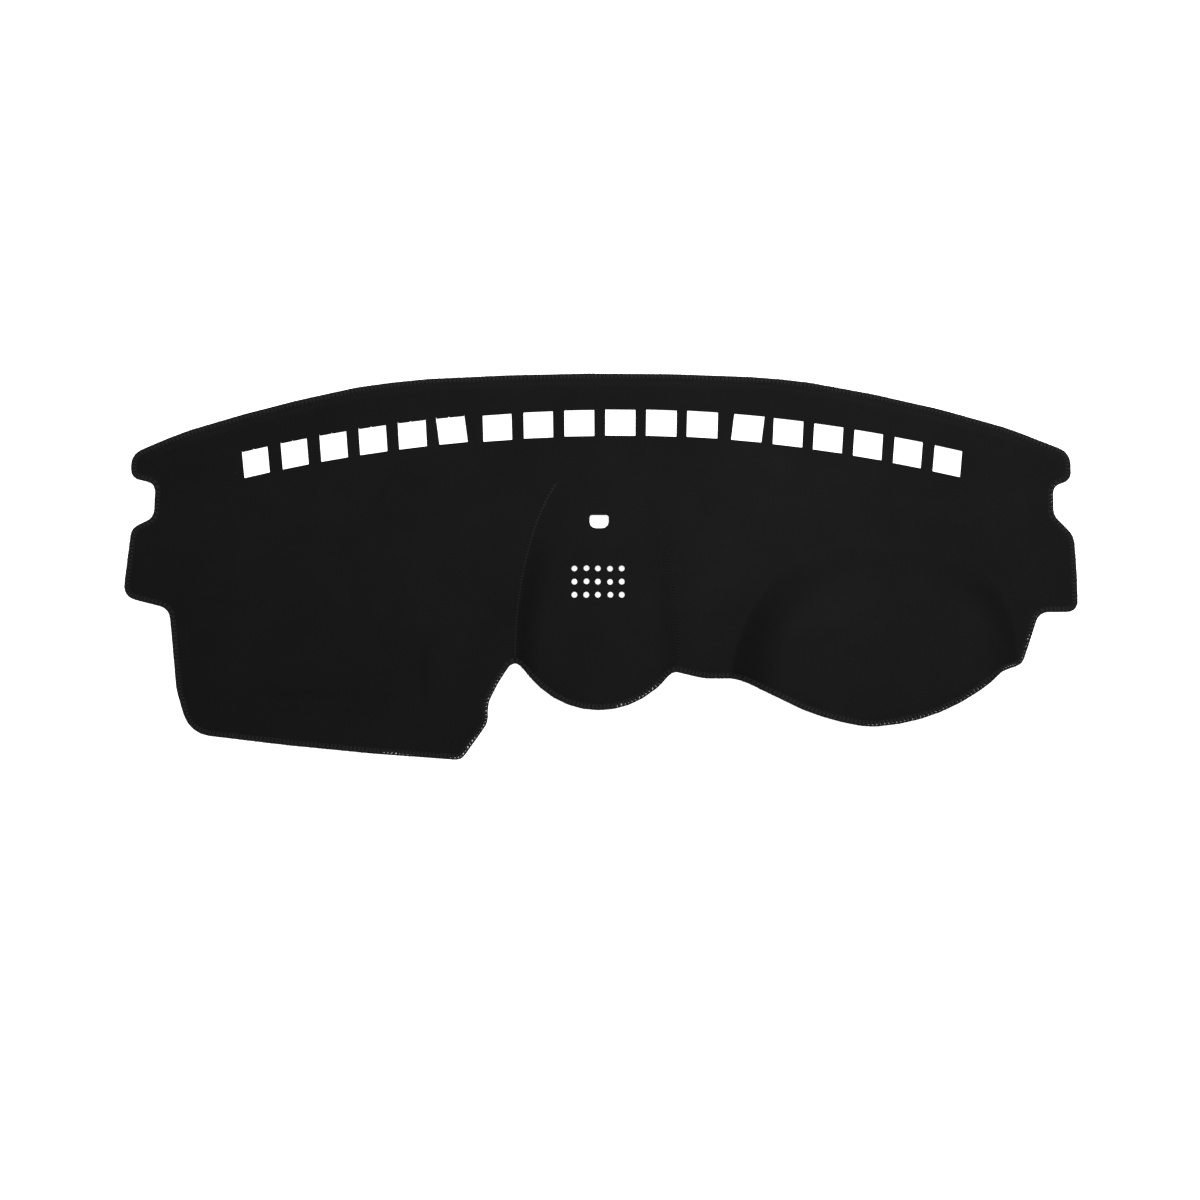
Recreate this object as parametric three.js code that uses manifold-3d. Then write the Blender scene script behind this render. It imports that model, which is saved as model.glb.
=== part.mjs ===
// Dashboard cover mat: one cut sheet of black needled felt that lies over a car's dashboard.
// A centre hump and an instrument hood are formed in the sheet and stay open at their front lips.
// Yarn is overlocked around the whole rim, and two yarn seams close the darts beside the hump.
// Millimetres: X runs along the dashboard, Y towards the windscreen, Z up from the underside.

import * as THREE from 'three';
import Module from 'manifold-3d';
import { mergeVertices } from 'three/addons/utils/BufferGeometryUtils.js';

const wasm = await Module();
wasm.setup();

// Whole mat
const MAT_LENGTH = 1404;
const MAT_DEPTH = 569;
const FELT_THICKNESS = 4;
const RIGHT_END = MAT_LENGTH / 2;
const LEFT_END = -RIGHT_END;
const SCREEN_Y = MAT_DEPTH / 2;
const KNEE_Y = -SCREEN_Y;

// Yarn edging around the rim
const EDGE_WIDTH = 7;
const EDGE_YARN = 1.2;
const EDGE_LIFT = 0.2;
const EDGE_DROP = 0.2;
const EDGE_ARM = 0.8;
const CLEARANCE = 0.3;

// Centre hump: its foot is half an ellipse, from the two darts to the rear end
const HUMP = {
  x: -5.5,
  y: -140,
  halfWidth: 119,
  reach: 300,
  height: 28,
  flank: 40,
  level: 0.4,
  crown: 0.1,
  lean: 0,
};

// Instrument hood: higher, as wide as the room between the hump and the right end allows, and leaning
// a little to the right towards the windscreen
const HOOD_TO_HUMP = 77.5;
const HOOD_TO_END = 93;
const HOOD_LEFT = HUMP.x + HUMP.halfWidth + HOOD_TO_HUMP;
const HOOD_RIGHT = RIGHT_END - HOOD_TO_END;
const HOOD = {
  x: (HOOD_LEFT + HOOD_RIGHT) / 2,
  y: -160,
  halfWidth: (HOOD_RIGHT - HOOD_LEFT) / 2,
  reach: 222,
  height: 68,
  flank: 66,
  level: 0.3,
  crown: 0.12,
  lean: 0.1,
};

// How softly a flank leaves its foot before it climbs and rounds over
const FOOT_SOFTNESS = 1.25;

// Dart seams beside the hump, laid into a groove in the felt
const SEAM_WIDTH = 4.5;
const SEAM_DEPTH = 1;
const SEAM_PROUD = 0.6;
const SEAM_LEFT_LENGTH = 262;
const SEAM_RIGHT_LENGTH = 190;
const SEAM_START = 14;

// Demister windows: three groups on one arc
const WINDOW_GROUPS = 3;
const WINDOWS_PER_GROUP = 6;
const WINDOW_PITCHES = [58.3, 60.2, 59.3];
const WINDOW_TILTS = [0, 0.011, -0.01];
const WINDOW_GROUP_PITCH = 67.1;
const WINDOW_ARC_RADIUS = 2312;
const WINDOW_ARC_X = 8.4;
const WINDOW_ROW_SHIFT = -6.8;
const WINDOW_ROW_INSET = 73.6;
const WINDOW_WIDTH = 45.4;
const WINDOW_NARROWING = 5;
const WINDOW_WIDEST_AT = 140;
const WINDOW_DEPTH = 38.5;
const WINDOW_CORNER = 1.5;
const WINDOW_LEAN = 0.4;
const WINDOW_GROUP_END_LEAN = 1.4;

// Sensor hole and sound holes, placed from the middle of the hump's foot
const SENSOR = { across: 3.5, along: 204.5, width: 27.5, depth: 20, frontRound: 9, rearRound: 2 };
const SOUND = { across: 2, along: 117.3, diameter: 8.4, pitchX: 17.1, pitchY: 19, columns: 5, rows: 3 };

// Corners of the cut pattern. In and down are from the end of the mat and from the windscreen edge,
// up is from the knee corner, across is from the middle of the hump's foot or from an end of the
// hood's foot, share is of the hood's half width from its middle, along is from the front of the foot,
// round is the radius of the corner, and bow is how far the side after it swells out of the sheet.
const LEFT_EAR = { in: 12, down: 119.5, round: 24 };
const LEFT_EAR_FOOT = { in: 13, down: 155, round: 13 };
const LEFT_NOTCH_TOP = { in: 48.5, down: 163, round: 12 };
const LEFT_NOTCH_FOOT = { in: 46, down: 212, round: 14 };
const LEFT_CHEEK_TOP = { in: 13, down: 228, round: 16 };
const LEFT_CHEEK_FOOT = { in: 0.5, down: 329, round: 19 };
const PANEL_SHOULDER = { in: 69, up: 222.5, round: 17 };
const PANEL_WAIST = { in: 79, up: 104, round: 60 };
const PANEL_CORNER = { in: 98, up: 39.5, round: 44, bow: 4 };
const KNEE_CORNER = { across: -198.5, up: 0, round: 13 };
const KNEE_CHEEK = { across: -159.5, up: 55, round: 22 };
const NOTCH_FOOT = { across: -159.5, up: 82, round: 30, bow: -3.5 };
const NOTCH_TOP = { across: -119.5, along: 3.5, round: 12 };
const LOBE_LEFT = { across: -99.5, along: -17, round: 60, bow: 54 };
const LOBE_RIGHT = { across: 108, along: -13, round: 13 };
const STRIP = { across: -39, along: -5, round: 80 };
const LIP_LEFT = { across: 13, along: -4.5, round: 60 };
const LIP_SWELL = { share: -0.56, along: -43.5, round: 200, bow: 3.5 };
const LIP_FRONT = { share: -0.1, along: -69, round: 150, bow: 19 };
const LIP_RIGHT = { across: -38, along: 8, round: 30 };
const LIP_CORNER = { in: 83, along: 14.5, round: 14 };
const RIGHT_SHOULDER = { in: 58, down: 352, round: 16 };
const RIGHT_CHEEK_FOOT = { in: 1, down: 351.5, round: 14, bow: 1.5 };
const RIGHT_CHEEK_TOP = { in: 7, down: 239, round: 26 };
const RIGHT_NOTCH_FOOT = { in: 37, down: 209, round: 16 };
const RIGHT_NOTCH_TOP = { in: 37.5, down: 166.5, round: 12 };
const RIGHT_EAR_FOOT = { in: 11, down: 158.5, round: 14 };
const RIGHT_EAR = { in: 12, down: 117, round: 24 };
const SCREEN_RIGHT = { in: 98, down: 83.5, round: 400, bow: 7.5 };
const SCREEN_MIDDLE_RIGHT = { in: 438, down: 8.5, round: 1200, bow: 9.8 };
const SCREEN_MIDDLE_LEFT = { in: 394, down: 13, round: 1200, bow: 6 };
const SCREEN_LEFT = { in: 84, down: 89, round: 400 };

// How finely curves and forms are divided
const CHORD_ERROR = 0.6;
const HOLE_SIDES = 10;
const SEAM_STEPS = 13;
const MARGIN = 30;
const LIP_ZONE = 80;
const GRID = {
  humpFlank: 10,
  humpTop: 22,
  hoodFlank: 13.5,
  hoodTop: 32,
  frontRows: 18,
  rearRows: 14.5,
  flankShare: 0.42,
};

// One corner of an outline.
const corner = (x, y, size) => ({ x, y, round: size.round, bow: size.bow ?? 0 });
const onLeft = (size) => corner(LEFT_END + size.in, SCREEN_Y - size.down, size);
const onPanel = (size) => corner(LEFT_END + size.in, KNEE_Y + size.up, size);
const onKnee = (size) => corner(HUMP.x + size.across, KNEE_Y + size.up, size);
const onLobe = (size) => corner(HUMP.x + size.across, HUMP.y + size.along, size);
const onLip = (x, size) => corner(x, HOOD.y + size.along, size);
const onRight = (size) => corner(RIGHT_END - size.in, SCREEN_Y - size.down, size);

// The cut pattern, anticlockwise from above.
const PATTERN = [
  onLeft(LEFT_EAR),
  onLeft(LEFT_EAR_FOOT),
  onLeft(LEFT_NOTCH_TOP),
  onLeft(LEFT_NOTCH_FOOT),
  onLeft(LEFT_CHEEK_TOP),
  onLeft(LEFT_CHEEK_FOOT),
  onPanel(PANEL_SHOULDER),
  onPanel(PANEL_WAIST),
  onPanel(PANEL_CORNER),
  onKnee(KNEE_CORNER),
  onKnee(KNEE_CHEEK),
  onKnee(NOTCH_FOOT),
  onLobe(NOTCH_TOP),
  onLobe(LOBE_LEFT),
  onLobe(LOBE_RIGHT),
  onLip(HOOD_LEFT + STRIP.across, STRIP),
  onLip(HOOD_LEFT + LIP_LEFT.across, LIP_LEFT),
  onLip(HOOD.x + LIP_SWELL.share * HOOD.halfWidth, LIP_SWELL),
  onLip(HOOD.x + LIP_FRONT.share * HOOD.halfWidth, LIP_FRONT),
  onLip(HOOD_RIGHT + LIP_RIGHT.across, LIP_RIGHT),
  onLip(RIGHT_END - LIP_CORNER.in, LIP_CORNER),
  onRight(RIGHT_SHOULDER),
  onRight(RIGHT_CHEEK_FOOT),
  onRight(RIGHT_CHEEK_TOP),
  onRight(RIGHT_NOTCH_FOOT),
  onRight(RIGHT_NOTCH_TOP),
  onRight(RIGHT_EAR_FOOT),
  onRight(RIGHT_EAR),
  onRight(SCREEN_RIGHT),
  onRight(SCREEN_MIDDLE_RIGHT),
  onLeft(SCREEN_MIDDLE_LEFT),
  onLeft(SCREEN_LEFT),
];

// Height of one raised form above the floor at a place on the mat.
function formHeight(form, x, y) {
  const along = (y - form.y) / form.reach;
  const middle = form.x + form.lean * (y - form.y);
  const across = (x - middle) / form.halfWidth;
  const radius = along > 0 ? Math.hypot(across, along) : Math.abs(across);
  const inside = (1 - radius) * form.halfWidth;
  const climb = THREE.MathUtils.clamp(inside / form.flank, 0, 1);
  const flank = Math.sin((climb * Math.PI) / 2) ** FOOT_SOFTNESS;
  const rise = 1 - THREE.MathUtils.smoothstep(along, form.level, 1);
  const crown = 1 - form.crown * across * across;
  return form.height * flank * rise * crown;
}

// Height of the felt's underside.
function underside(x, y) {
  return formHeight(HUMP, x, y) + formHeight(HOOD, x, y);
}

// A point a given depth of felt above the underside, measured square to the sheet.
function feltPoint(x, y, depth) {
  const reach = 0.5;
  const slopeX = (underside(x + reach, y) - underside(x - reach, y)) / (2 * reach);
  const slopeY = (underside(x, y + reach) - underside(x, y - reach)) / (2 * reach);
  const normal = new THREE.Vector3(-slopeX, -slopeY, 1).normalize();
  return new THREE.Vector3(x, y, underside(x, y)).addScaledVector(normal, depth);
}

// Evenly spaced places from one value up to, but not including, another.
function ruled(from, to, step) {
  const count = Math.max(1, Math.round((to - from) / step));
  return Array.from({ length: count }, (_, i) => from + ((to - from) * i) / count);
}

// Grid lines across one form: close together over its flanks, wider over its top.
function linesAcross(form, fine, coarse) {
  const lean = Math.abs(form.lean) * form.reach;
  const left = form.x - form.halfWidth;
  const right = form.x + form.halfWidth + lean;
  const band = form.halfWidth * GRID.flankShare;
  return [
    ...ruled(left, left + band, fine),
    ...ruled(left + band, right - band, coarse),
    ...ruled(right - band, right, fine),
    right,
  ];
}

const gridX = [
  LEFT_END - MARGIN,
  ...linesAcross(HUMP, GRID.humpFlank, GRID.humpTop),
  ...linesAcross(HOOD, GRID.hoodFlank, GRID.hoodTop),
  RIGHT_END + MARGIN,
];
const gridY = [
  KNEE_Y - MARGIN,
  ...ruled(HOOD.y - LIP_ZONE, HOOD.y, LIP_ZONE / 2),
  ...ruled(HOOD.y, HOOD.y + HOOD.reach, GRID.frontRows),
  ...ruled(HOOD.y + HOOD.reach, HUMP.y + HUMP.reach, GRID.rearRows),
  HUMP.y + HUMP.reach,
  SCREEN_Y + MARGIN,
];

// Turns a closed three.js geometry into a solid that can be cut and joined.
function solidOf(geometry) {
  geometry.deleteAttribute('normal');
  geometry.deleteAttribute('uv');
  const merged = mergeVertices(geometry, 1e-3);
  return new wasm.Manifold(new wasm.Mesh({
    numProp: 3,
    vertProperties: merged.getAttribute('position').array,
    triVerts: new Uint32Array(merged.index.array),
  }));
}

// A blanket over the whole pattern, between two depths of the felt.
function blanket(low, high) {
  const geometry = new THREE.BoxGeometry(1, 1, 1, gridX.length - 1, gridY.length - 1, 1);
  const place = geometry.getAttribute('position');
  for (let i = 0; i < place.count; i += 1) {
    const column = Math.round((place.getX(i) + 0.5) * (gridX.length - 1));
    const row = Math.round((place.getY(i) + 0.5) * (gridY.length - 1));
    const depth = place.getZ(i) > 0 ? high : low;
    const point = feltPoint(gridX[column], gridY[row], depth);
    place.setXYZ(i, point.x, point.y, point.z);
  }
  return solidOf(geometry);
}

// An upright prism over an outline, tall enough to pass through every form.
function prism(outline) {
  const height = MARGIN + HOOD.height + FELT_THICKNESS + MARGIN;
  const shape = new THREE.Shape(outline);
  const geometry = new THREE.ExtrudeGeometry(shape, { depth: height, bevelEnabled: false });
  geometry.translate(0, 0, -MARGIN);
  return solidOf(geometry);
}

// Walks the pattern's corners and returns the outline, with bowed sides and rounded corners.
function cutLine(corners) {
  const sides = corners.map((start, i) => {
    const end = corners[(i + 1) % corners.length];
    const chord = Math.hypot(end.x - start.x, end.y - start.y);
    const heading = Math.atan2(end.y - start.y, end.x - start.x);
    const swing = 2 * Math.atan((2 * start.bow) / chord);
    return { start, chord, leave: heading - swing, arrive: heading + swing, swing };
  });
  const turns = sides.map((side, i) => {
    const before = sides[(i + sides.length - 1) % sides.length];
    const angle = Math.atan2(Math.sin(side.leave - before.arrive), Math.cos(side.leave - before.arrive));
    return { angle, trim: Math.abs(side.start.round * Math.tan(angle / 2)), arrive: before.arrive };
  });
  const outline = [];
  sides.forEach((side, i) => {
    const { start } = side;
    const turn = turns[i];
    const radius = Math.sign(turn.angle) * start.round;
    const entry = new THREE.Vector2(
      start.x - turn.trim * Math.cos(turn.arrive),
      start.y - turn.trim * Math.sin(turn.arrive),
    );
    const step = 2 * Math.acos(1 - Math.min(1, CHORD_ERROR / start.round));
    const steps = Math.max(1, Math.ceil(Math.abs(turn.angle) / step));
    for (let n = 0; n <= steps; n += 1) {
      outline.push(arcPoint(entry, turn.arrive, radius, (turn.angle * n) / steps));
    }
    if (side.swing === 0) return;
    const sideRadius = side.chord / (2 * Math.sin(side.swing));
    const from = turn.trim / sideRadius;
    const to = 2 * side.swing - turns[(i + 1) % sides.length].trim / sideRadius;
    const span = Math.sqrt(8 * CHORD_ERROR * Math.abs(sideRadius));
    const count = Math.ceil((Math.abs(to - from) * Math.abs(sideRadius)) / span);
    for (let n = 1; n < count; n += 1) {
      outline.push(arcPoint(start, side.leave, sideRadius, from + ((to - from) * n) / count));
    }
  });
  return outline;
}

// A point on an arc that leaves a start in one heading and turns left by an angle.
function arcPoint(start, heading, radius, angle) {
  return new THREE.Vector2(
    start.x + radius * (Math.sin(heading + angle) - Math.sin(heading)),
    start.y - radius * (Math.cos(heading + angle) - Math.cos(heading)),
  );
}

// The outline moved into the sheet by a distance.
function inset(outline, distance) {
  return outline.map((point, i) => {
    const before = point.clone().sub(outline[(i + outline.length - 1) % outline.length]).normalize();
    const after = outline[(i + 1) % outline.length].clone().sub(point).normalize();
    const left = new THREE.Vector2(-before.y - after.y, before.x + after.x);
    return point.clone().addScaledVector(left, distance / (1 + before.dot(after)));
  });
}

const rim = cutLine(PATTERN);

// Demister windows: centres on the arc, top and bottom along it, sides nearer upright.
function windowOutlines() {
  const outlines = [];
  const runs = [];
  const middleGroup = (WINDOW_GROUPS - 1) / 2;
  let run = 0;
  for (let group = 0; group < WINDOW_GROUPS; group += 1) {
    const pitch = WINDOW_PITCHES[group];
    for (let number = 0; number < WINDOWS_PER_GROUP; number += 1) {
      const inner = number === (group < middleGroup ? WINDOWS_PER_GROUP - 1 : 0);
      const fromGroup = (number - (WINDOWS_PER_GROUP - 1) / 2) * pitch;
      const rise = fromGroup * WINDOW_TILTS[group];
      runs.push({ run, rise, leans: group !== middleGroup && inner });
      run += number === WINDOWS_PER_GROUP - 1 ? WINDOW_GROUP_PITCH : pitch;
    }
  }
  const half = runs[runs.length - 1].run / 2;
  const arcY = SCREEN_Y - WINDOW_ROW_INSET - WINDOW_ARC_RADIUS;
  for (const place of runs) {
    const fromMiddle = place.run - half;
    const tilt = (fromMiddle + WINDOW_ROW_SHIFT) / WINDOW_ARC_RADIUS;
    const lean = tilt * (place.leans ? WINDOW_GROUP_END_LEAN : WINDOW_LEAN);
    const width = WINDOW_WIDTH - (WINDOW_NARROWING * Math.abs(fromMiddle - WINDOW_WIDEST_AT)) / half;
    const centre = new THREE.Vector2(
      WINDOW_ARC_X + WINDOW_ARC_RADIUS * Math.sin(tilt),
      arcY + WINDOW_ARC_RADIUS * Math.cos(tilt) + place.rise,
    );
    outlines.push(windowOutline(centre, tilt, lean, width));
  }
  return outlines;
}

// One window: a leaning four-sided cut with small rounded corners.
function windowOutline(centre, tilt, lean, width) {
  const along = new THREE.Vector2(Math.cos(tilt), -Math.sin(tilt)).multiplyScalar(width / 2);
  const up = new THREE.Vector2(Math.sin(lean), Math.cos(lean)).multiplyScalar(WINDOW_DEPTH / 2);
  const corners = [[-1, -1], [1, -1], [1, 1], [-1, 1]].map(([side, end]) => {
    const point = centre.clone().addScaledVector(along, side).addScaledVector(up, end);
    return corner(point.x, point.y, { round: WINDOW_CORNER });
  });
  return cutLine(corners);
}

// Sensor hole: flat towards the windscreen, round towards the seats.
function sensorOutline() {
  const left = HUMP.x + SENSOR.across - SENSOR.width / 2;
  const front = HUMP.y + SENSOR.along - SENSOR.depth / 2;
  return cutLine([
    corner(left, front, { round: SENSOR.frontRound }),
    corner(left + SENSOR.width, front, { round: SENSOR.frontRound }),
    corner(left + SENSOR.width, front + SENSOR.depth, { round: SENSOR.rearRound }),
    corner(left, front + SENSOR.depth, { round: SENSOR.rearRound }),
  ]);
}

// One punched sound hole.
function soundHoleOutline(column, row) {
  const x = HUMP.x + SOUND.across + (column - (SOUND.columns - 1) / 2) * SOUND.pitchX;
  const y = HUMP.y + SOUND.along + (row - (SOUND.rows - 1) / 2) * SOUND.pitchY;
  return Array.from({ length: HOLE_SIDES }, (_, i) => {
    const angle = (2 * Math.PI * i) / HOLE_SIDES;
    const radius = SOUND.diameter / 2;
    return new THREE.Vector2(x + radius * Math.cos(angle), y + radius * Math.sin(angle));
  });
}

// The strip that a dart seam covers: it follows the hump's foot from the dart's mouth to its end.
function seamOutline(side, length, grow) {
  const half = SEAM_WIDTH / 2 + grow;
  const end = (length + grow) / HUMP.reach;
  const begin = (SEAM_START - grow) / HUMP.reach;
  const edge = (offset) => Array.from({ length: SEAM_STEPS + 1 }, (_, i) => {
    const along = THREE.MathUtils.lerp(begin, end, i / SEAM_STEPS);
    const angle = Math.asin(along);
    const outX = Math.cos(angle) * HUMP.reach;
    const outY = Math.sin(angle) * HUMP.halfWidth;
    const share = offset / Math.hypot(outX, outY);
    return new THREE.Vector2(
      HUMP.x + side * (HUMP.halfWidth * Math.cos(angle) + share * outX),
      HUMP.y + HUMP.reach * along + share * outY,
    );
  });
  return [...edge(half), ...edge(-half).reverse()];
}

// Felt: full thickness inside the edging, pressed thin where the yarn wraps it.
function makeFelt() {
  const pressedLow = EDGE_LIFT + EDGE_ARM + CLEARANCE;
  const pressedHigh = FELT_THICKNESS - EDGE_DROP - EDGE_ARM - CLEARANCE;
  const body = blanket(0, FELT_THICKNESS).intersect(prism(inset(rim, EDGE_WIDTH + CLEARANCE)));
  const tongue = blanket(pressedLow, pressedHigh).intersect(prism(inset(rim, EDGE_YARN + CLEARANCE)));
  let felt = body.add(tongue);
  for (const outline of windowOutlines()) {
    felt = felt.subtract(prism(outline));
  }
  felt = felt.subtract(prism(sensorOutline()));
  for (let row = 0; row < SOUND.rows; row += 1) {
    for (let column = 0; column < SOUND.columns; column += 1) {
      felt = felt.subtract(prism(soundHoleOutline(column, row)));
    }
  }
  const groove = blanket(FELT_THICKNESS - SEAM_DEPTH, FELT_THICKNESS + SEAM_DEPTH);
  felt = felt.subtract(groove.intersect(prism(seamOutline(-1, SEAM_LEFT_LENGTH, CLEARANCE))));
  felt = felt.subtract(groove.intersect(prism(seamOutline(1, SEAM_RIGHT_LENGTH, CLEARANCE))));
  return felt;
}

// Edging: a channel of yarn that wraps the pressed rim from above and below.
function makeEdging() {
  const low = EDGE_LIFT;
  const high = FELT_THICKNESS - EDGE_DROP;
  const band = blanket(low, high)
    .intersect(prism(rim))
    .subtract(prism(inset(rim, EDGE_WIDTH)));
  const channel = blanket(low + EDGE_ARM, high - EDGE_ARM).intersect(prism(inset(rim, EDGE_YARN)));
  return band.subtract(channel);
}

// Dart seam: a flat run of yarn that sits in its groove and stands a little proud.
function makeSeam(side, length) {
  const low = FELT_THICKNESS - SEAM_DEPTH + CLEARANCE;
  const high = FELT_THICKNESS + SEAM_PROUD;
  return blanket(low, high).intersect(prism(seamOutline(side, length, 0)));
}

// A named mesh from a finished solid.
function meshOf(name, solid, material) {
  const { vertProperties, triVerts } = solid.getMesh();
  const geometry = new THREE.BufferGeometry();
  geometry.setAttribute('position', new THREE.BufferAttribute(new Float32Array(vertProperties), 3));
  geometry.setIndex(new THREE.BufferAttribute(new Uint32Array(triVerts), 1));
  geometry.computeVertexNormals();
  const mesh = new THREE.Mesh(geometry, material);
  mesh.name = name;
  return mesh;
}

const feltMaterial = () => new THREE.MeshStandardMaterial({ color: 0x1b1b1c, roughness: 1 });
const yarnMaterial = () => new THREE.MeshStandardMaterial({ color: 0x242426, roughness: 0.8 });

const mat = new THREE.Group();
mat.add(meshOf('felt_mat', makeFelt(), feltMaterial()));
mat.add(meshOf('edge_overlock', makeEdging(), yarnMaterial()));
mat.add(meshOf('hump_seam_left', makeSeam(-1, SEAM_LEFT_LENGTH), yarnMaterial()));
mat.add(meshOf('hump_seam_right', makeSeam(1, SEAM_RIGHT_LENGTH), yarnMaterial()));

// The origin is the middle of the mat's box, on the floor.
const box = new THREE.Box3().setFromObject(mat);
const middle = box.getCenter(new THREE.Vector3());
mat.position.set(-middle.x, -middle.y, -box.min.z);

export default mat;
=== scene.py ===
"""Looks of the dashboard cover mat: draped felt, overlocked rim and dart seams."""

from __future__ import annotations

import logging
import math
from dataclasses import dataclass, field, replace
from enum import Enum

import bmesh
import bpy
import numpy as np
from mathutils import Matrix, Vector
from mathutils.kdtree import KDTree


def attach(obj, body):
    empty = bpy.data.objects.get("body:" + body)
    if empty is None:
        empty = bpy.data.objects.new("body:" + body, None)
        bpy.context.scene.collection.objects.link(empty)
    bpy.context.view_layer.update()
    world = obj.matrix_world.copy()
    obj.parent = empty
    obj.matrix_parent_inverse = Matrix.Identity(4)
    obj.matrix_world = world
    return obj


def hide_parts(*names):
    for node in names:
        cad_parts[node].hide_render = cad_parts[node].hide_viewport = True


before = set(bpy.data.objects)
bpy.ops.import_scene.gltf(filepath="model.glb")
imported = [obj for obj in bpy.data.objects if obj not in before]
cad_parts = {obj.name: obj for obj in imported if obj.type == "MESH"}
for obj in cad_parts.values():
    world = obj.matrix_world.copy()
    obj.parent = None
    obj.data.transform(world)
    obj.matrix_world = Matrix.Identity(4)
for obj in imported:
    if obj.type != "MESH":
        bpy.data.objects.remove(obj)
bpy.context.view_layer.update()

log = logging.getLogger("cover_mat")

MM = 0.001
MM2 = MM * MM
TOUCHING = 0.01 * MM
ON_THE_LINE = 0.001 * MM
UPRIGHT = 0.2
CRISP_PAST = math.radians(50)
WHITE = (1.0, 1.0, 1.0, 1.0)
BODY = "root"
SEED = 20
# Name of the mesh attribute that holds the felt's painted light and shade.
PAINTED_TONE_ATTRIBUTE = "painted_light_and_shade"


class Slot(Enum):
    """Names of the record's material slots."""

    FELT = "felt"
    EDGING = "edging_yarn"
    SEAM = "seam_yarn"


# Plan outlines


def wall_loops(node: bpy.types.Object) -> list[np.ndarray]:
    """Reads the closed lines where a CAD node's upright walls meet its underside.

    Args:
        node: A CAD node, which is only read.

    Returns:
        One array of plan points for each closed line, anticlockwise, largest area first.
    """
    bm = bmesh.new()
    bm.from_mesh(node.data)
    bmesh.ops.remove_doubles(bm, verts=bm.verts, dist=TOUCHING)
    bm.normal_update()
    follow: dict[bmesh.types.BMVert, list[bmesh.types.BMVert]] = {}
    for edge in bm.edges:
        tilts = sorted(face.normal.z for face in edge.link_faces)
        if len(tilts) == 2 and tilts[0] < -UPRIGHT and abs(tilts[1]) < UPRIGHT:
            first, second = edge.verts
            follow.setdefault(first, []).append(second)
            follow.setdefault(second, []).append(first)
    loops = []
    left = set(follow)
    for start in list(follow):
        if start not in left:
            continue
        line = [start]
        left.discard(start)
        while True:
            onward = [vert for vert in follow[line[-1]] if vert in left]
            if not onward:
                break
            line.append(onward[0])
            left.discard(onward[0])
        loops.append(np.array([vert.co.xy for vert in line]))
    bm.free()
    loops = [line if plan_area(line) > 0 else line[::-1] for line in loops]
    return sorted(loops, key=plan_area, reverse=True)


def plan_area(line: np.ndarray) -> float:
    """Signed area inside a closed line, positive when it runs anticlockwise."""
    onward = np.roll(line, -1, axis=0)
    return 0.5 * float(np.sum(line[:, 0] * onward[:, 1] - onward[:, 0] * line[:, 1]))


class SmoothLine:
    """A closed plan line made smooth and walked by length."""

    def __init__(self, line: np.ndarray, step: float, rounding: float) -> None:
        """Resamples and rounds the line.

        Args:
            line: Plan points, anticlockwise.
            step: Distance between the new points, in metres.
            rounding: How far the rounding reaches along the line, in metres.
        """
        closed = np.vstack([line, line[:1]])
        run = np.concatenate([[0.0], np.cumsum(np.linalg.norm(np.diff(closed, axis=0), axis=1))])
        count = int(round(run[-1] / step))
        places = np.linspace(0.0, run[-1], count, endpoint=False)
        points = np.stack([np.interp(places, run, closed[:, axis]) for axis in (0, 1)], axis=1)
        reach = np.arange(count)
        reach = np.minimum(reach, count - reach) * step
        weight = np.exp(-0.5 * (reach / rounding) ** 2)
        weight /= weight.sum()
        spectrum = np.fft.fft(points, axis=0) * np.fft.fft(weight)[:, None]
        self.points = np.real(np.fft.ifft(spectrum, axis=0))
        along = np.roll(self.points, -1, axis=0) - np.roll(self.points, 1, axis=0)
        along /= np.linalg.norm(along, axis=1)[:, None]
        self.inward = np.stack([-along[:, 1], along[:, 0]], axis=1)
        steps = np.linalg.norm(np.roll(self.points, -1, axis=0) - self.points, axis=1)
        self.run = np.concatenate([[0.0], np.cumsum(steps)])
        self.length = float(self.run[-1])

    def place(self, run: np.ndarray, inset: np.ndarray) -> np.ndarray:
        """Plan points at given lengths along the line and distances in from it."""
        wrapped = np.mod(run, self.length)
        found = []
        for axis in (0, 1):
            line = np.append(self.points[:, axis], self.points[0, axis])
            inward = np.append(self.inward[:, axis], self.inward[0, axis])
            at = np.interp(wrapped, self.run, line)
            found.append(at + inset * np.interp(wrapped, self.run, inward))
        return np.stack(found, axis=1)


# The lie of the sheet


def smooth_step(value: np.ndarray, low: float, high: float) -> np.ndarray:
    """Smooth rise from 0 at low to 1 at high."""
    share = np.clip((value - low) / (high - low), 0.0, 1.0)
    return share * share * (3.0 - 2.0 * share)


@dataclass(frozen=True)
class Form:
    """A raised form of the sheet on a foot of half an ellipse, open at its front lip.

    x and y are the middle of its front, and half_width and reach are the foot's half axes. Flank
    is the width of its sides, and level the share of the reach at full rise. Crown is how much the
    top falls towards the sides, and lean how far the form slants to the right on its way back.
    """

    x: float
    y: float
    half_width: float
    reach: float
    rise: float
    flank: float
    level: float
    crown: float
    lean: float
    foot_softness: float = 1.25

    def height(self, x: np.ndarray, y: np.ndarray) -> np.ndarray:
        """Height of the underside above the floor."""
        along = (y - self.y) / self.reach
        across = (x - self.x - self.lean * (y - self.y)) / self.half_width
        radius = np.where(along > 0, np.hypot(across, along), np.abs(across))
        climb = np.clip((1 - radius) * self.half_width / self.flank, 0.0, 1.0)
        flank = np.sin(0.5 * math.pi * climb) ** self.foot_softness
        fall = 1 - smooth_step(along, self.level, 1.0)
        return self.rise * flank * fall * (1 - self.crown * across**2)


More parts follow.
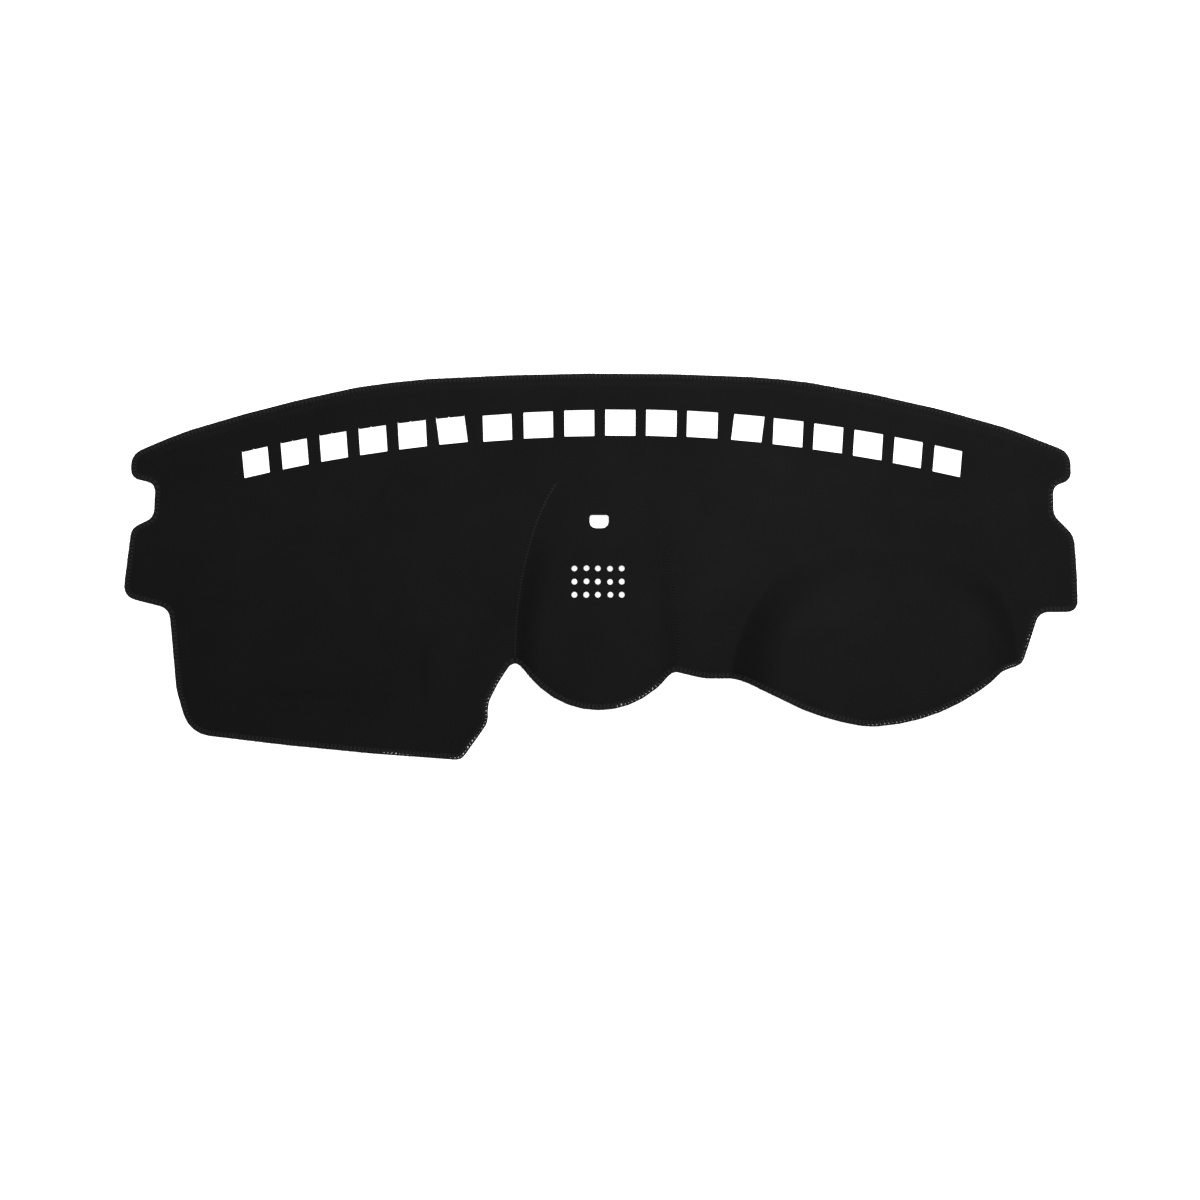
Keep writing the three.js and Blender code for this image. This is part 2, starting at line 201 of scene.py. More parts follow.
@dataclass(frozen=True)
class Swell:
    """A soft swelling or dent, of the sheet's lie or of its tone."""

    x: float
    y: float
    length: float
    width: float
    turn: float
    rise: float

    def height(self, x: np.ndarray, y: np.ndarray) -> np.ndarray:
        """What the swelling adds at plan points."""
        cos, sin = math.cos(self.turn), math.sin(self.turn)
        along = (x - self.x) * cos + (y - self.y) * sin
        across = (y - self.y) * cos - (x - self.x) * sin
        return self.rise * np.exp(-((along / self.length) ** 2) - (across / self.width) ** 2)


@dataclass(frozen=True)
class Crease:
    """A faint fold line left in the sheet from packing."""

    start: tuple[float, float]
    end: tuple[float, float]
    width: float
    rise: float

    def height(self, x: np.ndarray, y: np.ndarray) -> np.ndarray:
        """Height that the fold line adds, fading out at both ends."""
        run = np.subtract(self.end, self.start)
        length = float(np.hypot(*run))
        run = run / length
        along = (x - self.start[0]) * run[0] + (y - self.start[1]) * run[1]
        across = (y - self.start[1]) * run[0] - (x - self.start[0]) * run[1]
        fade = smooth_step(along, -self.width, 3 * self.width)
        fade = fade * (1 - smooth_step(along, length - 3 * self.width, length + self.width))
        return self.rise * fade * np.exp(-((across / self.width) ** 2))


@dataclass
class Drape:
    """How the sheet lies: its two forms, soft swellings, fold lines and a slight unevenness."""

    hump: Form = Form(
        x=-6.28 * MM, y=-139.76 * MM, half_width=119 * MM, reach=300 * MM,
        rise=28 * MM, flank=40 * MM, level=0.4, crown=0.1, lean=0.0,
    )
    hood: Form = Form(
        x=399.22 * MM, y=-159.76 * MM, half_width=209 * MM, reach=222 * MM,
        rise=68 * MM, flank=66 * MM, level=0.3, crown=0.12, lean=0.1,
    )
    swells: tuple[Swell, ...] = (
        Swell(-8 * MM, 118 * MM, 105 * MM, 42 * MM, 0.0, 5.0 * MM),
        Swell(343 * MM, -158 * MM, 22 * MM, 60 * MM, -0.5, -2.2 * MM),
        Swell(262 * MM, 64 * MM, 60 * MM, 26 * MM, 0.5, 3.0 * MM),
        Swell(210 * MM, 20 * MM, 70 * MM, 60 * MM, 0.2, 2.0 * MM),
        Swell(-230 * MM, -60 * MM, 60 * MM, 160 * MM, 0.0, 2.2 * MM),
        Swell(-560 * MM, -60 * MM, 90 * MM, 120 * MM, 0.1, 1.2 * MM),
        Swell(590 * MM, 90 * MM, 80 * MM, 60 * MM, -0.3, 1.6 * MM),
    )
    creases: tuple[Crease, ...] = (
        Crease((-259 * MM, -196 * MM), (-256 * MM, -132 * MM), 3.5 * MM, 1.9 * MM),
        Crease((-480 * MM, -183 * MM), (-374 * MM, -185 * MM), 3.5 * MM, 1.2 * MM),
        Crease((-300 * MM, -150 * MM), (-262 * MM, 150 * MM), 6.0 * MM, 0.7 * MM),
        Crease((-610 * MM, 12 * MM), (-420 * MM, 20 * MM), 6.0 * MM, 0.5 * MM),
    )
    wave_rise: float = 0.5 * MM
    wave_along: tuple[float, float, float] = (0.047, 1.3, 0.061)
    wave_across: tuple[float, float, float] = (0.039, 0.8, 0.083)
    probe: float = 0.5 * MM
    thickness: float = 4 * MM

    @staticmethod
    def drifting_wave(
        along: np.ndarray, across: np.ndarray, length: float, drift: float, drift_length: float
    ) -> np.ndarray:
        """Waves along one axis that drift to and fro on their way along the other."""
        return np.sin(along / length + drift * np.sin(across / drift_length))

    def height(self, x: np.ndarray, y: np.ndarray) -> np.ndarray:
        """Height of the sheet's underside above the floor."""
        total = self.hump.height(x, y) + self.hood.height(x, y)
        for part in (*self.swells, *self.creases):
            total = total + part.height(x, y)
        wave = self.drifting_wave(x, y, *self.wave_along) * self.drifting_wave(y, x, *self.wave_across)
        return np.maximum(total + self.wave_rise * (1 + wave), 0.0)

    def place(self, x: np.ndarray, y: np.ndarray, depth: np.ndarray) -> np.ndarray:
        """Points a given depth above the underside, measured square to the sheet."""
        reach = self.probe
        slope_x = (self.height(x + reach, y) - self.height(x - reach, y)) / (2 * reach)
        slope_y = (self.height(x, y + reach) - self.height(x, y - reach)) / (2 * reach)
        scale = depth / np.sqrt(slope_x**2 + slope_y**2 + 1)
        return np.stack([x - slope_x * scale, y - slope_y * scale, self.height(x, y) + scale], axis=1)


# Finishes


def noise_node(
    nodes: bpy.types.Nodes, detail: float = 2.0, roughness: float = 0.5, distortion: float = 0.0
) -> bpy.types.Node:
    """A noise texture node."""
    node = nodes.new("ShaderNodeTexNoise")
    node.inputs["Detail"].default_value = detail
    node.inputs["Roughness"].default_value = roughness
    node.inputs["Distortion"].default_value = distortion
    return node


def math_node(nodes: bpy.types.Nodes, operation: str, second: float | None = None) -> bpy.types.Node:
    """A math node, with a fixed second value where one is given."""
    node = nodes.new("ShaderNodeMath")
    node.operation = operation
    if second is not None:
        node.inputs[1].default_value = second
    return node


class NodeBook:
    """Shader node groups that more than one finish uses."""

    clump_scale = 0.27
    clump_share = 0.6
    bend_scale = 40.0
    bend_reach = (0.02, 0.02, 0.02)
    lint_above = 0.86

    def __init__(self) -> None:
        """Builds each shared group once."""
        self.fibres = self._fibres()
        self.lint = self._lint()

    @staticmethod
    def _group(name: str, outputs: tuple[str, ...], inputs: dict[str, float]) -> bpy.types.NodeTree:
        """A new group with float sockets, and its input and output nodes."""
        tree = bpy.data.node_groups.new(name, "ShaderNodeTree")
        for label, value in inputs.items():
            socket = tree.interface.new_socket(label, in_out="INPUT", socket_type="NodeSocketFloat")
            socket.default_value = value
        for label in outputs:
            tree.interface.new_socket(label, in_out="OUTPUT", socket_type="NodeSocketFloat")
        tree.nodes.new("NodeGroupInput").name = "in"
        tree.nodes.new("NodeGroupOutput").name = "out"
        return tree

    def _fibres(self) -> bpy.types.NodeTree:
        """Matted fibres: a height for bumps, and a slow patchiness of the felt."""
        tree = self._group("matted_fibres", ("Height", "Patches"), {"Scale": 900.0, "Patch Scale": 9.0})
        nodes, links = tree.nodes, tree.links
        place = nodes.new("ShaderNodeTexCoord")
        fine = noise_node(nodes, detail=4.0, roughness=0.7, distortion=1.2)
        coarse = noise_node(nodes, detail=3.0, roughness=0.6)
        clumps = noise_node(nodes)
        wider = math_node(nodes, "MULTIPLY", self.clump_scale)
        blend = math_node(nodes, "MULTIPLY_ADD", self.clump_share)
        for texture in (fine, coarse, clumps):
            links.new(place.outputs["Object"], texture.inputs["Vector"])
        links.new(nodes["in"].outputs["Scale"], fine.inputs["Scale"])
        links.new(nodes["in"].outputs["Scale"], wider.inputs[0])
        links.new(wider.outputs[0], clumps.inputs["Scale"])
        links.new(nodes["in"].outputs["Patch Scale"], coarse.inputs["Scale"])
        links.new(clumps.outputs["Fac"], blend.inputs[0])
        links.new(fine.outputs["Fac"], blend.inputs[2])
        links.new(blend.outputs[0], nodes["out"].inputs["Height"])
        links.new(coarse.outputs["Fac"], nodes["out"].inputs["Patches"])
        return tree

    def _lint(self) -> bpy.types.NodeTree:
        """Sparse short threads of lint as a mask."""
        tree = self._group("lint_threads", ("Mask",), {"Scale": 60.0, "Size": 0.03})
        nodes, links = tree.nodes, tree.links
        place = nodes.new("ShaderNodeTexCoord")
        bend = noise_node(nodes)
        bend.inputs["Scale"].default_value = self.bend_scale
        shift = nodes.new("ShaderNodeVectorMath")
        shift.operation = "MULTIPLY_ADD"
        shift.inputs[1].default_value = self.bend_reach
        cells = nodes.new("ShaderNodeTexVoronoi")
        cells.feature = "F1"
        pick = nodes.new("ShaderNodeSeparateColor")
        near = math_node(nodes, "LESS_THAN")
        few = math_node(nodes, "GREATER_THAN", self.lint_above)
        both = math_node(nodes, "MULTIPLY")
        links.new(place.outputs["Object"], bend.inputs["Vector"])
        links.new(bend.outputs["Color"], shift.inputs[0])
        links.new(place.outputs["Object"], shift.inputs[2])
        links.new(shift.outputs[0], cells.inputs["Vector"])
        links.new(nodes["in"].outputs["Scale"], cells.inputs["Scale"])
        links.new(cells.outputs["Distance"], near.inputs[0])
        links.new(nodes["in"].outputs["Size"], near.inputs[1])
        links.new(cells.outputs["Color"], pick.inputs[0])
        links.new(pick.outputs[0], few.inputs[0])
        links.new(near.outputs[0], both.inputs[0])
        links.new(few.outputs[0], both.inputs[1])
        links.new(both.outputs[0], nodes["out"].inputs["Mask"])
        return tree


@dataclass(frozen=True)
class FabricFinish:
    """A near-black textile finish with matted fibres, slow patches and a little lint."""

    name: str
    dark: tuple[float, float, float]
    light: tuple[float, float, float]
    lint: tuple[float, float, float]
    roughness: float
    specular: float
    fibre_scale: float
    bump: float
    bump_distance: float
    lint_scale: float
    lint_size: float
    patch_share: float = 0.55
    grain_share: float = 0.28
    # Whether the colour is scaled by the painted light and shade that the sheet carries.
    carries_painted_tone: bool = False

    def build(self, book: NodeBook) -> bpy.types.Material:
        """Makes the material.

        Args:
            book: The shared node groups.

        Returns:
            The new material.
        """
        material = bpy.data.materials.new(self.name)
        material.use_nodes = True
        nodes, links = material.node_tree.nodes, material.node_tree.links
        shader = nodes["Principled BSDF"]
        shader.inputs["Roughness"].default_value = self.roughness
        shader.inputs["Specular IOR Level"].default_value = self.specular
        fibres = nodes.new("ShaderNodeGroup")
        fibres.node_tree = book.fibres
        fibres.inputs["Scale"].default_value = self.fibre_scale
        lint = nodes.new("ShaderNodeGroup")
        lint.node_tree = book.lint
        lint.inputs["Scale"].default_value = self.lint_scale
        lint.inputs["Size"].default_value = self.lint_size
        grain = math_node(nodes, "MULTIPLY", self.grain_share)
        blend = math_node(nodes, "MULTIPLY_ADD", self.patch_share)
        colour = nodes.new("ShaderNodeMix")
        colour.data_type = "RGBA"
        colour.inputs["A"].default_value = (*self.dark, 1.0)
        colour.inputs["B"].default_value = (*self.light, 1.0)
        speck = nodes.new("ShaderNodeMix")
        speck.data_type = "RGBA"
        speck.inputs["B"].default_value = (*self.lint, 1.0)
        bump = nodes.new("ShaderNodeBump")
        bump.inputs["Strength"].default_value = self.bump
        bump.inputs["Distance"].default_value = self.bump_distance
        links.new(fibres.outputs["Patches"], blend.inputs[0])
        links.new(fibres.outputs["Height"], grain.inputs[0])
        links.new(grain.outputs[0], blend.inputs[2])
        links.new(blend.outputs[0], colour.inputs["Factor"])
        links.new(colour.outputs["Result"], speck.inputs["A"])
        links.new(lint.outputs["Mask"], speck.inputs["Factor"])
        finished = speck.outputs["Result"]
        # Painted light and shade: the colour is scaled by the tone painted onto the sheet.
        if self.carries_painted_tone:
            painted_light_and_shade = nodes.new("ShaderNodeAttribute")
            painted_light_and_shade.attribute_name = PAINTED_TONE_ATTRIBUTE
            tone = nodes.new("ShaderNodeVectorMath")
            tone.operation = "SCALE"
            links.new(finished, tone.inputs["Vector"])
            links.new(painted_light_and_shade.outputs["Fac"], tone.inputs["Scale"])
            finished = tone.outputs["Vector"]
        links.new(finished, shader.inputs["Base Color"])
        links.new(fibres.outputs["Height"], bump.inputs["Height"])
        links.new(bump.outputs["Normal"], shader.inputs["Normal"])
        return material


FELT = FabricFinish(
    name="black_needled_felt",
    dark=(0.0043, 0.0043, 0.0045),
    light=(0.0089, 0.0089, 0.0091),
    lint=(0.030, 0.030, 0.030),
    roughness=1.0,
    specular=0.02,
    fibre_scale=1100.0,
    bump=0.7,
    bump_distance=0.6 * MM,
    lint_scale=38.0,
    lint_size=0.018,
    carries_painted_tone=True,
)

EDGING_YARN = FabricFinish(
    name="black_overlock_yarn",
    dark=(0.0082, 0.0082, 0.0084),
    light=(0.0138, 0.0138, 0.0140),
    lint=(0.03, 0.03, 0.03),
    roughness=0.85,
    specular=0.06,
    fibre_scale=2200.0,
    bump=0.5,
    bump_distance=0.25 * MM,
    lint_scale=60.0,
    lint_size=0.02,
)

SEAM_YARN = FabricFinish(
    name="black_seam_yarn",
    dark=(0.0058, 0.0058, 0.0060),
    light=(0.0104, 0.0104, 0.0106),
    lint=(0.03, 0.03, 0.03),
    roughness=0.85,
    specular=0.05,
    fibre_scale=2200.0,
    bump=0.5,
    bump_distance=0.25 * MM,
    lint_scale=60.0,
    lint_size=0.02,
)


# A lighter copy of the seam yarn for the left seam: a painted highlight where its raised ridge catches
# the light.
SEAM_YARN_PAINTED_HIGHLIGHT = replace(
    SEAM_YARN,
    name="black_seam_yarn_painted_highlight",
    dark=(0.0084, 0.0084, 0.0086),
    light=(0.0140, 0.0140, 0.0142),
)


def add_object(name: str, mesh: bpy.types.Mesh, material: bpy.types.Material) -> bpy.types.Object:
    """Puts a finished mesh into the scene at the origin."""
    mesh.materials.clear()
    mesh.materials.append(material)
    piece = bpy.data.objects.new(name, mesh)
    bpy.context.scene.collection.objects.link(piece)
    return piece


def shade(mesh: bpy.types.Mesh) -> None:
    """Smooth shading, with the sharper edges left crisp."""
    bm = bmesh.new()
    bm.from_mesh(mesh)
    bmesh.ops.recalc_face_normals(bm, faces=bm.faces)
    for face in bm.faces:
        face.smooth = True
    for edge in bm.edges:
        edge.smooth = len(edge.link_faces) != 2 or edge.calc_face_angle(0.0) < CRISP_PAST
    bm.to_mesh(mesh)
    bm.free()


def coordinates(mesh: bpy.types.Mesh) -> np.ndarray:
    """The mesh's vertices as an array."""
    flat = np.empty(len(mesh.vertices) * 3)
    mesh.vertices.foreach_get("co", flat)
    return flat.reshape(-1, 3)


def move_to(mesh: bpy.types.Mesh, places: np.ndarray) -> None:
    """Moves every vertex of a mesh to a new place."""
    mesh.vertices.foreach_set("co", np.ascontiguousarray(places).ravel())
    mesh.update()


# Felt sheet


def beats(run: np.ndarray, lengths: tuple[float, float]) -> np.ndarray:
    """Uneven waves along a line, made of two lengths that beat against each other."""
    return np.sin(run / lengths[0]) * np.sin(run / lengths[1])


@dataclass(frozen=True)
class Band:
    """A soft band that follows the rim some way in from it."""

    inset: float
    width: float
    strength: float

    def profile(self, inside: np.ndarray) -> np.ndarray:
        """The band's strength at given distances from the rim."""
        return self.strength * np.exp(-(((inside - self.inset) / self.width) ** 2))


@dataclass(frozen=True)
class LooseEdge:
    """Places where the felt is cut back inside its yarn, and how far the wraps stand apart there.

    Each place has its x, its y, its reach and the share by which the wraps stand apart.
    """

    core: float = 0.8
    fade: float = 1.15
    places: tuple[tuple[float, float, float, float], ...] = (
        (582 * MM, -112 * MM, 60 * MM, 0.38),
        (618 * MM, -70 * MM, 30 * MM, 0.3),
        (548 * MM, -170 * MM, 62 * MM, 0.42),
        (440 * MM, -228 * MM, 70 * MM, 0.35),
        (-166 * MM, -196 * MM, 48 * MM, 0.0),
        (-190 * MM, -268 * MM, 44 * MM, 0.3),
        (62 * MM, -188 * MM, 46 * MM, 0.4),
        (-300 * MM, -276 * MM, 24 * MM, 0.3),
        (655 * MM, 110 * MM, 26 * MM, 0.4),
    )

    def shares(self, at: np.ndarray) -> tuple[np.ndarray, np.ndarray]:
        """How far the felt is cut back, and how far the wraps stand apart, from 0 to 1."""
        cut = np.zeros(len(at))
        apart = np.zeros(len(at))
        for x, y, reach, spread in self.places:
            away = np.hypot(at[:, 0] - x, at[:, 1] - y)
            near = 1 - smooth_step(away, self.core * reach, self.fade * reach)
            cut = np.maximum(cut, near)
            apart = np.maximum(apart, spread * near)
        return cut, apart


@dataclass
class FeltSheet:
    """The cut sheet, from its flat pattern to the way it lies."""

    rim: SmoothLine
    holes: list[np.ndarray]
    drape: Drape
    grid: float = 5 * MM
    edge_step: float = 2.5 * MM
    edge_inset: float = 1.3 * MM
    cut_back: float = 4.4 * MM
    cut_further: float = 1.6 * MM
    ragged: float = 0.3
    ragged_lengths: tuple[float, float] = (7 * MM, 19 * MM)
    wander: float = 0.35 * MM
    wander_lengths: tuple[float, float] = (13 * MM, 37 * MM)
    loose: LooseEdge = LooseEdge()
    smallest_window: float = 1000 * MM2
    smallest_sensor_hole: float = 200 * MM2
    sensor_hole_step: float = 1.2 * MM
    sensor_hole_rounding: float = 0.9 * MM
    punch_sides: int = 20
    nicked_windows: int = 6
    nicks: tuple[float, float, float] = (1.9 * MM, 1.71 * MM, 3.04 * MM)
    nick_width: float = 1.2 * MM
    middle_nick: float = 0.45
    pressed: float = 2.4 * MM
    press_start: float = 7.6 * MM
    press_reach: float = 10.8 * MM
    needle_groove: Band = Band(8.6 * MM, 1.2 * MM, 0.35 * MM)
    # Painted highlight: a lighter band along the rim on the windscreen side, where a pressed line catches
    # the light.
    highlight_line: Band = Band(14 * MM, 3.6 * MM, 0.18)
    highlight_line_rear: tuple[float, float] = (120 * MM, 200 * MM)
    rim_step: float = 1.0 * MM
    # Painted light and shade: soft lighter and darker patches where the sheet's gentle lie catches or
    # loses the light; the two thin dark ones are painted shade along the fold creases.
    painted_swells: tuple[Swell, ...] = (
        Swell(235 * MM, 40 * MM, 150 * MM, 130 * MM, 0.2, 0.15),
        Swell(330 * MM, 150 * MM, 200 * MM, 60 * MM, -0.1, 0.05),
        Swell(-470 * MM, -150 * MM, 190 * MM, 110 * MM, 0.0, -0.07),
        Swell(-470 * MM, 210 * MM, 220 * MM, 40 * MM, 0.25, -0.06),
        Swell(40 * MM, 215 * MM, 220 * MM, 30 * MM, 0.0, -0.04),
        Swell(-257 * MM, -164 * MM, 38 * MM, 4.5 * MM, 1.57, -0.14),
        Swell(-427 * MM, -184 * MM, 60 * MM, 4.5 * MM, 0.0, -0.12),
    )

    def edge_line(self) -> np.ndarray:
        """The felt's own cut edge inside the yarn, further in where the yarn runs past it."""
        run = np.arange(0.0, self.rim.length, self.edge_step)
        cut, apart = self.loose.shares(self.rim.place(run, np.zeros_like(run)))
        cut = cut * (1 - self.ragged + self.ragged * beats(run, self.ragged_lengths))
        inset = self.edge_inset + self.wander * beats(run, self.wander_lengths)
        inset = inset + (self.cut_back - self.edge_inset) * cut + self.cut_further * apart
        return self.rim.place(run, inset)

    def cut_outlines(self) -> list[np.ndarray]:
        """Windows with their knife corners, the sensor hole and the punched holes."""
        windows = [line for line in self.holes if plan_area(line) > self.smallest_window]
        windows.sort(key=lambda line: line[:, 0].mean())
        outlines = [self.window(line, n < self.nicked_windows) for n, line in enumerate(windows)]
        for line in self.holes:
            area = plan_area(line)
            if self.smallest_sensor_hole < area < self.smallest_window:
                outlines.append(SmoothLine(line, self.sensor_hole_step, self.sensor_hole_rounding).points)
            elif area < self.smallest_sensor_hole:
                outlines.append(self.punched(line))
        return outlines

    def punched(self, line: np.ndarray) -> np.ndarray:
        """A round hole in place of the CAD's coarse one."""
        middle = line.mean(axis=0)
        radius = float(np.linalg.norm(line - middle, axis=1).mean())
        angles = np.linspace(0.0, 2 * math.pi, self.punch_sides, endpoint=False)
        return middle + radius * np.stack([np.cos(angles), np.sin(angles)], axis=1)

    def window(self, line: np.ndarray, nicked: bool) -> np.ndarray:
        """A window's four straight knife cuts.

        Args:
            line: The CAD window with its rounded corners.
            nicked: Whether the knife nicked the upper cut at its corners and its middle.

        Returns:
            The window's outline, anticlockwise.
        """
        sides = np.roll(line, -1, axis=0) - line
        longest = sorted(np.argsort(-np.linalg.norm(sides, axis=1))[:4])
        corners = []
        for n, side in enumerate(longest):
            before = longest[n - 1]
            matrix = np.stack([sides[before], -sides[side]], axis=1)
            share = np.linalg.solve(matrix, line[side] - line[before])[0]
            corners.append(line[before] + share * sides[before])
        corners = np.array(corners)
        lowest_left = int(np.argmin(corners[:, 0] + corners[:, 1]))
        low_left, low_right, top_right, top_left = np.roll(corners, -lowest_left, axis=0)
        if not nicked:
            return np.array([low_left, low_right, top_right, top_left])
        along = (top_right - top_left) / np.linalg.norm(top_right - top_left)
        up = np.array([-along[1], along[0]])
        middle = top_left + self.middle_nick * (top_right - top_left)
        right_nick, middle_nick, left_nick = self.nicks
        return np.array([
            low_left,
            low_right,
            top_right + right_nick * up,
            top_right - self.nick_width * along,
            middle + self.nick_width * along,
            middle + middle_nick * up,
            middle - self.nick_width * along,
            top_left + self.nick_width * along,
            top_left + left_nick * up,
        ])

    def flat_mesh(self) -> bpy.types.Mesh:
        """The flat pattern as a slab of even grid cells, one unit thick."""
        bm = bmesh.new()
        edges = []
        for line in [self.edge_line(), *self.cut_outlines()]:
            verts = [bm.verts.new((x, y, 0.0)) for x, y in line]
            edges += [bm.edges.new((verts[n - 1], vert)) for n, vert in enumerate(verts)]
        bmesh.ops.triangle_fill(bm, use_beauty=True, use_dissolve=False, edges=edges, normal=(0, 0, 1))
        low = self.rim.points.min(axis=0)
        high = self.rim.points.max(axis=0)
        for axis in (0, 1):
            normal = Vector((1 - axis, axis, 0))
            for place in np.arange(low[axis] + self.grid / 2, high[axis], self.grid):
                geom = bm.verts[:] + bm.edges[:] + bm.faces[:]
                point = normal * float(place)
                bmesh.ops.bisect_plane(bm, geom=geom, plane_co=point, plane_no=normal, dist=ON_THE_LINE)
        slanted = [edge for edge in bm.edges if not edge.is_boundary and self.is_slanted(edge)]
        bmesh.ops.dissolve_edges(bm, edges=slanted, use_verts=False)
        spare = [vert for vert in bm.verts if len(vert.link_edges) == 2 and not vert.is_boundary]
        bmesh.ops.dissolve_verts(bm, verts=spare)
        made = bmesh.ops.extrude_face_region(bm, geom=bm.faces[:])
        raised = [part for part in made["geom"] if isinstance(part, bmesh.types.BMVert)]
        bmesh.ops.translate(bm, verts=raised, vec=(0, 0, 1))
        bmesh.ops.recalc_face_normals(bm, faces=bm.faces)
        mesh = bpy.data.meshes.new("felt_sheet")
        bm.to_mesh(mesh)
        bm.free()
        return mesh

    @staticmethod
    def is_slanted(edge: bmesh.types.BMEdge) -> bool:
        """Whether an edge runs along neither row nor column of the grid."""
        run = edge.verts[1].co - edge.verts[0].co
        return abs(run.x) > 2 * ON_THE_LINE and abs(run.y) > 2 * ON_THE_LINE

    def distance_in(self, places: np.ndarray) -> np.ndarray:
        """Distance of plan points from the rim."""
        run = np.arange(0.0, self.rim.length, self.rim_step)
        line = self.rim.place(run, np.zeros_like(run))
        tree = KDTree(len(line))
        for n, (x, y) in enumerate(line):
            tree.insert((x, y, 0.0), n)
        tree.balance()
        return np.array([tree.find((x, y, 0.0))[2] for x, y in places])

    def painted_tone(self, flat: np.ndarray, inside: np.ndarray) -> np.ndarray:
        """How light or dark the felt is painted at each place: painted light and shade, and a painted
        highlight line.

        Args:
            flat: Places on the flat pattern.
            inside: Their distances from the rim.

        Returns:
            A factor on the felt's colour for each place.
        """
        tone = np.ones(len(flat))
        # Painted light and shade from the sheet's lie, and painted shade along the fold creases.
        for painted_swell in self.painted_swells:
            tone = tone + painted_swell.height(flat[:, 0], flat[:, 1])
        # Painted highlight along a pressed line near the windscreen edge.
        windscreen_side = smooth_step(flat[:, 1], *self.highlight_line_rear)
        return tone + self.highlight_line.profile(inside) * windscreen_side

    def build(self, material: bpy.types.Material) -> bpy.types.Object:
        """Cuts, drapes and dresses the sheet."""
        mesh = self.flat_mesh()
        flat = coordinates(mesh)
        inside = self.distance_in(flat[:, :2])
        thickness = self.drape.thickness
        squeezed = 1 - smooth_step(inside, self.press_start, self.press_reach)
        squeeze = squeezed * (thickness - self.pressed) / 2
        upper = flat[:, 2] > 0.5
        depth = np.where(upper, thickness - squeeze - self.needle_groove.profile(inside), squeeze)
        move_to(mesh, self.drape.place(flat[:, 0], flat[:, 1], depth))
        shade(mesh)
        # The painted light and shade goes onto the mesh, for the felt's colour.
        painted_light_and_shade = mesh.attributes.new(PAINTED_TONE_ATTRIBUTE, "FLOAT", "POINT")
        painted_light_and_shade.data.foreach_set("value", self.painted_tone(flat, inside))
        piece = add_object("felt_sheet", mesh, material)
        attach(piece, BODY)
        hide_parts("felt_mat")
        return piece


# Yarn


@dataclass(frozen=True)
class Strand:
    """A flattened run of yarn through points given along, across and above the line it wraps."""

    path: tuple[tuple[float, float, float], ...]
    half_width: float
    half_height: float
    sides: int

    def add_to(self, bm: bmesh.types.BMesh) -> None:
        """Sweeps the strand as one closed tube."""
        points = [Vector(point) for point in self.path]
        rings = []
        for n, point in enumerate(points):
            before = points[max(n - 1, 0)]
            after = points[min(n + 1, len(points) - 1)]
            run = (after - before).normalized()
            side = Vector((1, 0, 0)) - run * run.x
            side.normalize()
            up = run.cross(side)
            turn = Matrix((side * self.half_width, up * self.half_height, run)).transposed()
            place = Matrix.Translation(point) @ turn.to_4x4()
            made = bmesh.ops.create_circle(bm, segments=self.sides, radius=1.0, matrix=place)
            rings.append({edge for vert in made["verts"] for edge in vert.link_edges})
        for first, second in zip(rings, rings[1:]):
            bmesh.ops.bridge_loops(bm, edges=list(first | second))
        for ring in (rings[0], rings[-1]):
            bmesh.ops.edgeloop_fill(bm, edges=list(ring))

    @staticmethod
    def template(strands: tuple[Strand, ...]) -> bpy.types.Mesh:
        """One stitch made of several strands."""
        bm = bmesh.new()
        for strand in strands:
            strand.add_to(bm)
        bmesh.ops.recalc_face_normals(bm, faces=bm.faces)
        for face in bm.faces:
            face.smooth = True
        mesh = bpy.data.meshes.new("stitch")
        bm.to_mesh(mesh)
        bm.free()
        return mesh


def repeat(template: bpy.types.Mesh, count: int, name: str) -> bpy.types.Mesh:
    """Joins a number of copies of one stitch into a mesh, copy after copy."""
    bm = bmesh.new()
    for _ in range(count):
        bm.from_mesh(template)
    mesh = bpy.data.meshes.new(name)
    bm.to_mesh(mesh)
    bm.free()
    return mesh


def yarn_tube(name: str, places: np.ndarray, radius: float, closed: bool) -> bpy.types.Mesh:
    """A round yarn through a line of points, as a mesh.

    Args:
        name: Name of the new mesh.
        places: Points that the yarn runs through.
        radius: The yarn's radius.
        closed: Whether its end meets its start.

    Returns:
        The tube's mesh.
    """
    curve = bpy.data.curves.new(name, "CURVE")
    curve.dimensions = "3D"
    curve.bevel_depth = radius
    curve.bevel_resolution = 1
    curve.use_fill_caps = not closed
    spline = curve.splines.new("POLY")
    spline.points.add(len(places) - 1)
    spline.points.foreach_set("co", np.column_stack([places, np.ones(len(places))]).ravel())
    spline.use_cyclic_u = closed
    holder = bpy.data.objects.new(name, curve)
    bpy.context.scene.collection.objects.link(holder)
    mesh = bpy.data.meshes.new_from_object(holder)
    mesh.name = name
    bpy.data.objects.remove(holder)
    bpy.data.curves.remove(curve)
    return mesh


def dress_yarn(pieces: list[bpy.types.Object], replaced: str) -> None:
    """Shades pieces of yarn, ties them to the body and hides the CAD node that they take the place of."""
    for piece in pieces:
        for polygon in piece.data.polygons:
            polygon.use_smooth = True
        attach(piece, BODY)
    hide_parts(replaced)


@dataclass(frozen=True)
class YarnRun:
    """A round yarn along a line, which sways sideways and bobs up and down with each stitch."""

    inset: float
    sway: float
    depth: float
    bob: float
    radius: float

    def at(self, beat: np.ndarray) -> tuple[np.ndarray, np.ndarray]:
        """Distances in and depths of the yarn at given angles of the stitches' beat."""
        return self.inset + self.sway * np.sin(beat), self.depth + self.bob * np.cos(beat)


